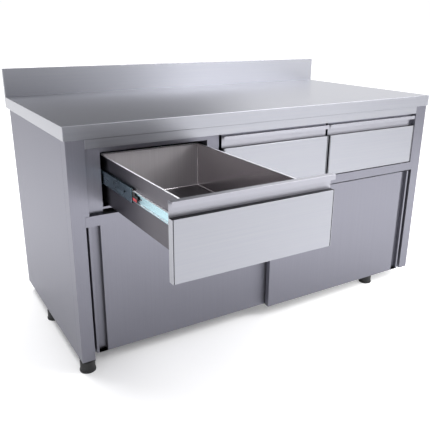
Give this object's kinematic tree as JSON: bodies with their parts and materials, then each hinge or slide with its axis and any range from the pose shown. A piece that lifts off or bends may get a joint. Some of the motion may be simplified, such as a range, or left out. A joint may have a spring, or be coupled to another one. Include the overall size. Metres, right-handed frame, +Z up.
{
  "type": "sliding door work cabinet",
  "caption": "Stainless steel work cabinet: worktop with rear upstand, a row of drawers on ball runners above a cupboard closed by sliding doors, on screw feet.",
  "frame": {"origin": "on the floor, at the centre of the front left foot's sole", "axes": "+X to the right along the front, +Y to the back, +Z up"},
  "size_m": [1.6, 1.364, 0.96],
  "materials": {
    "satin_stainless": "satin, fine brushed grain along each sheet",
    "polished_stainless": "polished inside of the drawer boxes",
    "zinc_plated_steel": "bright blue-white zinc plating",
    "cage_steel": "plain cold-rolled strip",
    "track_aluminium": "natural anodised extrusion",
    "rivet_aluminium": "plain rivet heads",
    "laminated_board": "chipboard with a thin laminate on both faces",
    "black_plastic": "moulded black nylon",
    "white_nylon": "natural nylon"
  },
  "bodies": {
    "cabinet": {"worktop": "satin_stainless", "worktop_board": "laminated_board", "front_left_post": "satin_stainless", "front_right_post": "satin_stainless", "left_side_panel": "satin_stainless", "right_side_panel": "satin_stainless", "back_panel": "satin_stainless", "top_rail": "satin_stainless", "middle_rail": "satin_stainless", "drawer_face_frame": "satin_stainless", "left_slide_support": "satin_stainless", "left_divider": "satin_stainless", "right_divider": "satin_stainless", "right_slide_support": "satin_stainless", "bottom_shelf": "satin_stainless", "middle_shelf": "satin_stainless", "door_track": "track_aluminium", "door_floor_guide": "white_nylon", "foot_sockets": "black_plastic", "back_rivets": "rivet_aluminium", "runner_1_cabinet_members": "zinc_plated_steel", "runner_2_cabinet_members": "zinc_plated_steel", "runner_3_cabinet_members": "zinc_plated_steel"},
    "drawer_1": {"drawer_1_box": "polished_stainless", "drawer_1_front": "satin_stainless", "drawer_1_pull": "satin_stainless", "runner_1_drawer_members": "zinc_plated_steel", "runner_1_latches": "black_plastic"},
    "runner_1": {"runner_1_middle_members": "zinc_plated_steel", "runner_1_ball_cages": "cage_steel"},
    "drawer_2": {"drawer_2_box": "polished_stainless", "drawer_2_front": "satin_stainless", "drawer_2_pull": "satin_stainless", "runner_2_drawer_members": "zinc_plated_steel", "runner_2_latches": "black_plastic"},
    "runner_2": {"runner_2_middle_members": "zinc_plated_steel", "runner_2_ball_cages": "cage_steel"},
    "drawer_3": {"drawer_3_box": "polished_stainless", "drawer_3_front": "satin_stainless", "drawer_3_pull": "satin_stainless", "runner_3_drawer_members": "zinc_plated_steel", "runner_3_latches": "black_plastic"},
    "runner_3": {"runner_3_middle_members": "zinc_plated_steel", "runner_3_ball_cages": "cage_steel"},
    "left_door": {"left_door_skin": "satin_stainless", "left_door_back": "satin_stainless", "left_door_hangers": "zinc_plated_steel"},
    "left_door_outer_roller": {"left_door_outer_roller": "white_nylon"},
    "left_door_inner_roller": {"left_door_inner_roller": "white_nylon"},
    "right_door": {"right_door_skin": "satin_stainless", "right_door_back": "satin_stainless", "right_door_hangers": "zinc_plated_steel"},
    "right_door_outer_roller": {"right_door_outer_roller": "white_nylon"},
    "right_door_inner_roller": {"right_door_inner_roller": "white_nylon"},
    "front_left_foot": {"front_left_foot": "black_plastic"},
    "middle_left_foot": {"middle_left_foot": "black_plastic"},
    "rear_left_foot": {"rear_left_foot": "black_plastic"},
    "front_right_foot": {"front_right_foot": "black_plastic"},
    "middle_right_foot": {"middle_right_foot": "black_plastic"},
    "rear_right_foot": {"rear_right_foot": "black_plastic"}
  },
  "joints": [
    {"name": "drawer_1_slide", "type": "slide", "parent": "cabinet", "child": "drawer_1", "axis": [0, -1, 0], "range_m": [-0.568, 0]},
    {"name": "runner_1_slide", "type": "slide", "parent": "cabinet", "child": "runner_1", "axis": [0, -1, 0], "range_m": [-0.284, 0]},
    {"name": "drawer_2_slide", "type": "slide", "parent": "cabinet", "child": "drawer_2", "axis": [0, -1, 0], "range_m": [0, 0.568]},
    {"name": "runner_2_slide", "type": "slide", "parent": "cabinet", "child": "runner_2", "axis": [0, -1, 0], "range_m": [0, 0.284]},
    {"name": "drawer_3_slide", "type": "slide", "parent": "cabinet", "child": "drawer_3", "axis": [0, -1, 0], "range_m": [0, 0.568]},
    {"name": "runner_3_slide", "type": "slide", "parent": "cabinet", "child": "runner_3", "axis": [0, -1, 0], "range_m": [0, 0.284]},
    {"name": "left_door_slide", "type": "slide", "parent": "cabinet", "child": "left_door", "axis": [1, 0, 0], "range_m": [0, 0.66]},
    {"name": "left_door_outer_roller_turn", "type": "hinge", "parent": "left_door", "child": "left_door_outer_roller", "pos_m": [0.132, 0.022, 0.5453], "axis": [0, 1, 0], "range_deg": [0, 4728]},
    {"name": "left_door_inner_roller_turn", "type": "hinge", "parent": "left_door", "child": "left_door_inner_roller", "pos_m": [0.696, 0.022, 0.5453], "axis": [0, 1, 0], "range_deg": [0, 4728]},
    {"name": "right_door_slide", "type": "slide", "parent": "cabinet", "child": "right_door", "axis": [1, 0, 0], "range_m": [-0.66, 0]},
    {"name": "right_door_outer_roller_turn", "type": "hinge", "parent": "right_door", "child": "right_door_outer_roller", "pos_m": [1.412, -0.008, 0.5453], "axis": [0, 1, 0], "range_deg": [-4728, 0]},
    {"name": "right_door_inner_roller_turn", "type": "hinge", "parent": "right_door", "child": "right_door_inner_roller", "pos_m": [0.848, -0.008, 0.5453], "axis": [0, 1, 0], "range_deg": [-4728, 0]},
    {"name": "front_left_foot_turn", "type": "hinge", "parent": "cabinet", "child": "front_left_foot", "pos_m": [0, 0, 0.02], "axis": [0, 0, 1], "range_deg": [-1080, 1080]},
    {"name": "middle_left_foot_turn", "type": "hinge", "parent": "cabinet", "child": "middle_left_foot", "pos_m": [0.001, 0.413, 0.02], "axis": [0, 0, 1], "range_deg": [-1080, 1080]},
    {"name": "rear_left_foot_turn", "type": "hinge", "parent": "cabinet", "child": "rear_left_foot", "pos_m": [0.052, 0.7006, 0.02], "axis": [0, 0, 1], "range_deg": [-1080, 1080]},
    {"name": "front_right_foot_turn", "type": "hinge", "parent": "cabinet", "child": "front_right_foot", "pos_m": [1.344, 0.019, 0.02], "axis": [0, 0, 1], "range_deg": [-1080, 1080]},
    {"name": "middle_right_foot_turn", "type": "hinge", "parent": "cabinet", "child": "middle_right_foot", "pos_m": [1.543, 0.413, 0.02], "axis": [0, 0, 1], "range_deg": [-1080, 1080]},
    {"name": "rear_right_foot_turn", "type": "hinge", "parent": "cabinet", "child": "rear_right_foot", "pos_m": [1.492, 0.7006, 0.02], "axis": [0, 0, 1], "range_deg": [-1080, 1080]}
  ],
  "couplings": [
    {"joint": "runner_1_slide", "follows": "drawer_1_slide", "ratio": 0.5},
    {"joint": "runner_2_slide", "follows": "drawer_2_slide", "ratio": 0.5},
    {"joint": "runner_3_slide", "follows": "drawer_3_slide", "ratio": 0.5},
    {"joint": "left_door_outer_roller_turn", "follows": "left_door_slide", "rad_per_m": 125},
    {"joint": "left_door_inner_roller_turn", "follows": "left_door_slide", "rad_per_m": 125},
    {"joint": "right_door_outer_roller_turn", "follows": "right_door_slide", "rad_per_m": 125},
    {"joint": "right_door_inner_roller_turn", "follows": "right_door_slide", "rad_per_m": 125}
  ]
}
